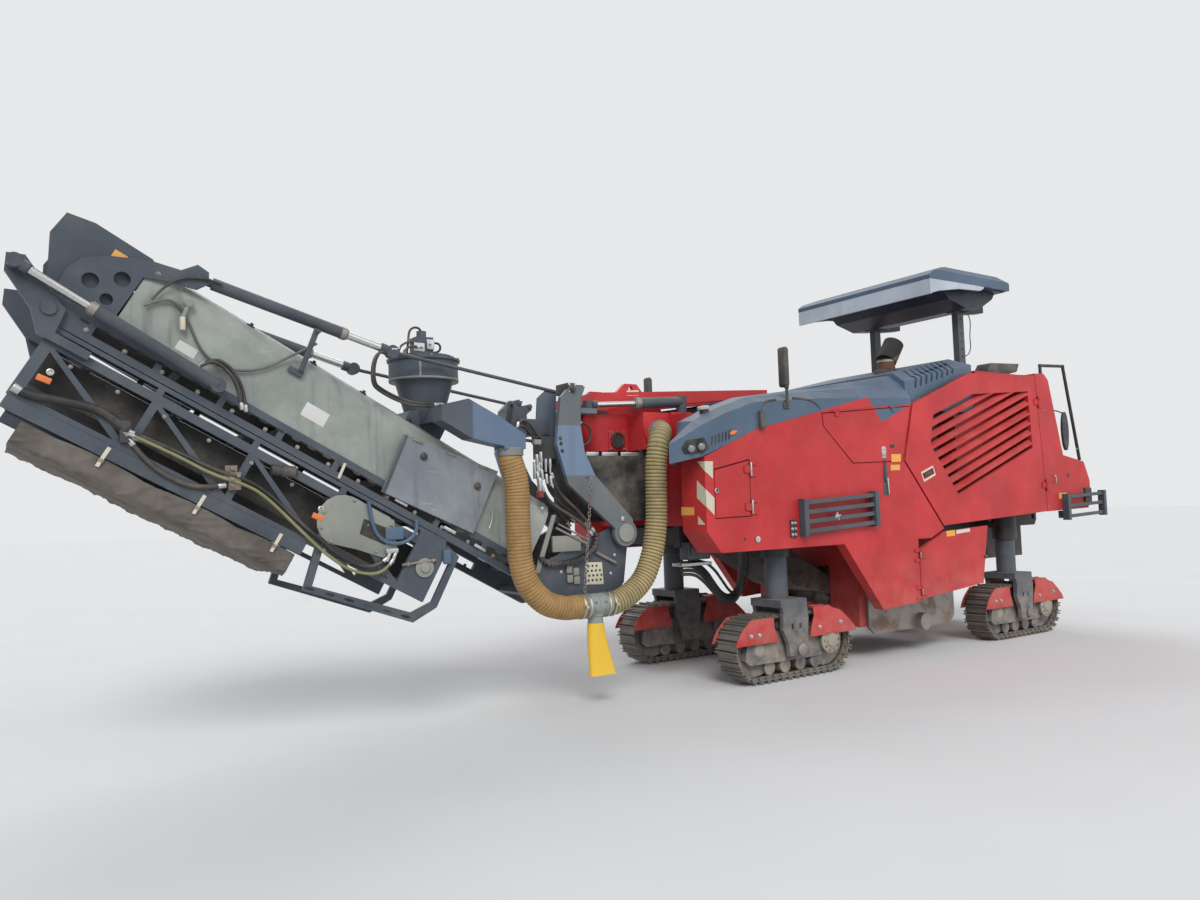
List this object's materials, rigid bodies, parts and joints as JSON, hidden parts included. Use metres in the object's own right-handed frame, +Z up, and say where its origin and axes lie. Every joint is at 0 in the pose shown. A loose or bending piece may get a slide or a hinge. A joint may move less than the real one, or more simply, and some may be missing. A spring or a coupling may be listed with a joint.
{
  "type": "cold planer milling machine",
  "caption": "Road milling machine on steered crawler tracks with a cutting drum under its body and a folded front discharge conveyor.",
  "frame": {"origin": "on the ground under the middle of the machine's overall box", "axes": "+X towards the machine's rear, -X towards the discharge conveyor, -Y to the machine's left side, +Z up"},
  "size_m": [10.3275, 2.04, 3.85],
  "materials": {
    "red_paint": "semi-gloss red paint, faded and dusty",
    "slate_paint": "satin slate grey paint",
    "grey_paint": "satin grey paint, worn at the edges",
    "chassis_paint": "matt black paint with dust",
    "curtain_rubber": "matt rubber sheet",
    "engine_iron": "painted cast block",
    "dark_plastic": "matt black",
    "canopy_shell": "moulded shell, satin",
    "visor_plastic": "pale moulded plastic, dusty",
    "exhaust_metal": "rusty and sooty",
    "rail_paint": "black powder coat",
    "worn_steel": "worn and dusty",
    "cylinder_paint": "satin paint with a chromed rod",
    "coupling_plastic": "grey green moulding",
    "hood_sheet": "pale grey green sheet, dusty",
    "belt_rubber": "ribbed belt",
    "tarp_fabric": "dusty brown tarpaulin",
    "hose_rubber": "ribbed ochre hose",
    "track_steel": "dirty steel shoes"
  },
  "bodies": {
    "machine": {"chassis_frame": "chassis_paint", "front_console": "red_paint", "rubber_curtain": "curtain_rubber", "front_body": "red_paint", "top_hood": "slate_paint", "vent_cowl": "slate_paint", "engine_block": "engine_iron", "rear_body": "red_paint", "operator_platform": "dark_plastic", "canopy": "canopy_shell", "canopy_visor": "visor_plastic", "canopy_frame": "grey_paint", "exhaust_pipe": "exhaust_metal", "mirrors": "dark_plastic", "handrails": "rail_paint", "step_rails": "grey_paint", "drum_housing": "red_paint", "primary_conveyor": "chassis_paint", "side_plates": "worn_steel", "leg_sleeves": "chassis_paint", "slew_cylinder": "cylinder_paint"},
    "louvre_door_left": {"louvre_door_left": "red_paint"},
    "louvre_door_right": {"louvre_door_right": "red_paint"},
    "hatch_left": {"hatch_left": "red_paint"},
    "hatch_right": {"hatch_right": "red_paint"},
    "lower_door_left": {"lower_door_left": "red_paint"},
    "lower_door_right": {"lower_door_right": "red_paint"},
    "tool_door": {"tool_door": "red_paint"},
    "milling_drum": {"milling_drum": "worn_steel"},
    "track_fl": {"track_unit_fl": "grey_paint", "track_belt_fl": "track_steel"},
    "track_fr": {"track_unit_fr": "grey_paint", "track_belt_fr": "track_steel"},
    "track_rl": {"track_unit_rl": "grey_paint", "track_belt_rl": "track_steel"},
    "track_rr": {"track_unit_rr": "grey_paint", "track_belt_rr": "track_steel"},
    "slewing_mast": {"mast": "grey_paint", "valve_block": "dark_plastic", "suction_branch": "coupling_plastic", "hose_lower": "hose_rubber"},
    "main_conveyor": {"conveyor_frame": "grey_paint", "conveyor_hood": "hood_sheet", "hood_end": "slate_paint", "conveyor_belt": "belt_rubber", "fan_unit": "grey_paint", "conveyor_door": "hood_sheet", "luff_cylinders": "cylinder_paint", "fold_cylinders": "cylinder_paint", "hose_upper": "hose_rubber"},
    "tip_conveyor": {"tip_frame": "grey_paint", "tip_fairing": "slate_paint", "tip_tarp": "tarp_fabric", "tip_belt": "belt_rubber"}
  },
  "joints": [
    {"name": "mast_slew", "type": "hinge", "parent": "machine", "child": "slewing_mast", "pos_m": [-0.99336, 0, 1.27], "axis": [0, 0, 1], "range_deg": [-60, 60], "deforming": ["hose_lower"]},
    {"name": "conveyor_luff", "type": "hinge", "parent": "slewing_mast", "child": "main_conveyor", "pos_m": [-1.08336, 0, 1.27], "axis": [0, 1, 0], "range_deg": [-22, 10], "deforming": ["hose_upper"]},
    {"name": "tip_fold", "type": "hinge", "parent": "main_conveyor", "child": "tip_conveyor", "pos_m": [-4.93416, 0, 2.67522], "axis": [0, 1, 0], "range_deg": [0, 180]},
    {"name": "drum_spin", "type": "hinge", "parent": "machine", "child": "milling_drum", "pos_m": [2.10664, 0, 0.65], "axis": [0, 1, 0], "continuous": true},
    {"name": "steer_front_left", "type": "hinge", "parent": "machine", "child": "track_fl", "pos_m": [0.32664, -0.695, 0.7], "axis": [0, 0, 1], "range_deg": [-25, 25]},
    {"name": "steer_front_right", "type": "hinge", "parent": "machine", "child": "track_fr", "pos_m": [0.32664, 0.695, 0.7], "axis": [0, 0, 1], "range_deg": [-25, 25]},
    {"name": "steer_rear_left", "type": "hinge", "parent": "machine", "child": "track_rl", "pos_m": [3.67664, -0.695, 0.7], "axis": [0, 0, 1], "range_deg": [-12, 12]},
    {"name": "steer_rear_right", "type": "hinge", "parent": "machine", "child": "track_rr", "pos_m": [3.67664, 0.695, 0.7], "axis": [0, 0, 1], "range_deg": [-12, 12]},
    {"name": "louvre_left_open", "type": "hinge", "parent": "machine", "child": "louvre_door_left", "pos_m": [4.05783, -0.962, 1.9], "axis": [-0.0683, 0, 0.9977], "range_deg": [0, 100]},
    {"name": "louvre_right_open", "type": "hinge", "parent": "machine", "child": "louvre_door_right", "pos_m": [4.05783, 0.962, 1.9], "axis": [0.0683, 0, -0.9977], "range_deg": [0, 100]},
    {"name": "hatch_left_open", "type": "hinge", "parent": "machine", "child": "hatch_left", "pos_m": [1.29664, -0.958, 2.27428], "axis": [-0.9963, 0, -0.0863], "range_deg": [0, 85]},
    {"name": "hatch_right_open", "type": "hinge", "parent": "machine", "child": "hatch_right", "pos_m": [1.29664, 0.958, 2.27428], "axis": [0.9963, 0, 0.0863], "range_deg": [0, 85]},
    {"name": "lower_left_open", "type": "hinge", "parent": "machine", "child": "lower_door_left", "pos_m": [1.91464, -0.962, 0.8], "axis": [0, 0, -1], "range_deg": [0, 120]},
    {"name": "lower_right_open", "type": "hinge", "parent": "machine", "child": "lower_door_right", "pos_m": [1.91464, 0.962, 0.8], "axis": [0, 0, 1], "range_deg": [0, 120]},
    {"name": "tool_door_open", "type": "hinge", "parent": "machine", "child": "tool_door", "pos_m": [-0.15936, -0.962, 1.6], "axis": [0, 0, 1], "range_deg": [0, 120]}
  ],
  "couplings": [
    {"joint": "steer_front_right", "follows": "steer_front_left", "ratio": 1},
    {"joint": "steer_rear_right", "follows": "steer_rear_left", "ratio": 1}
  ]
}
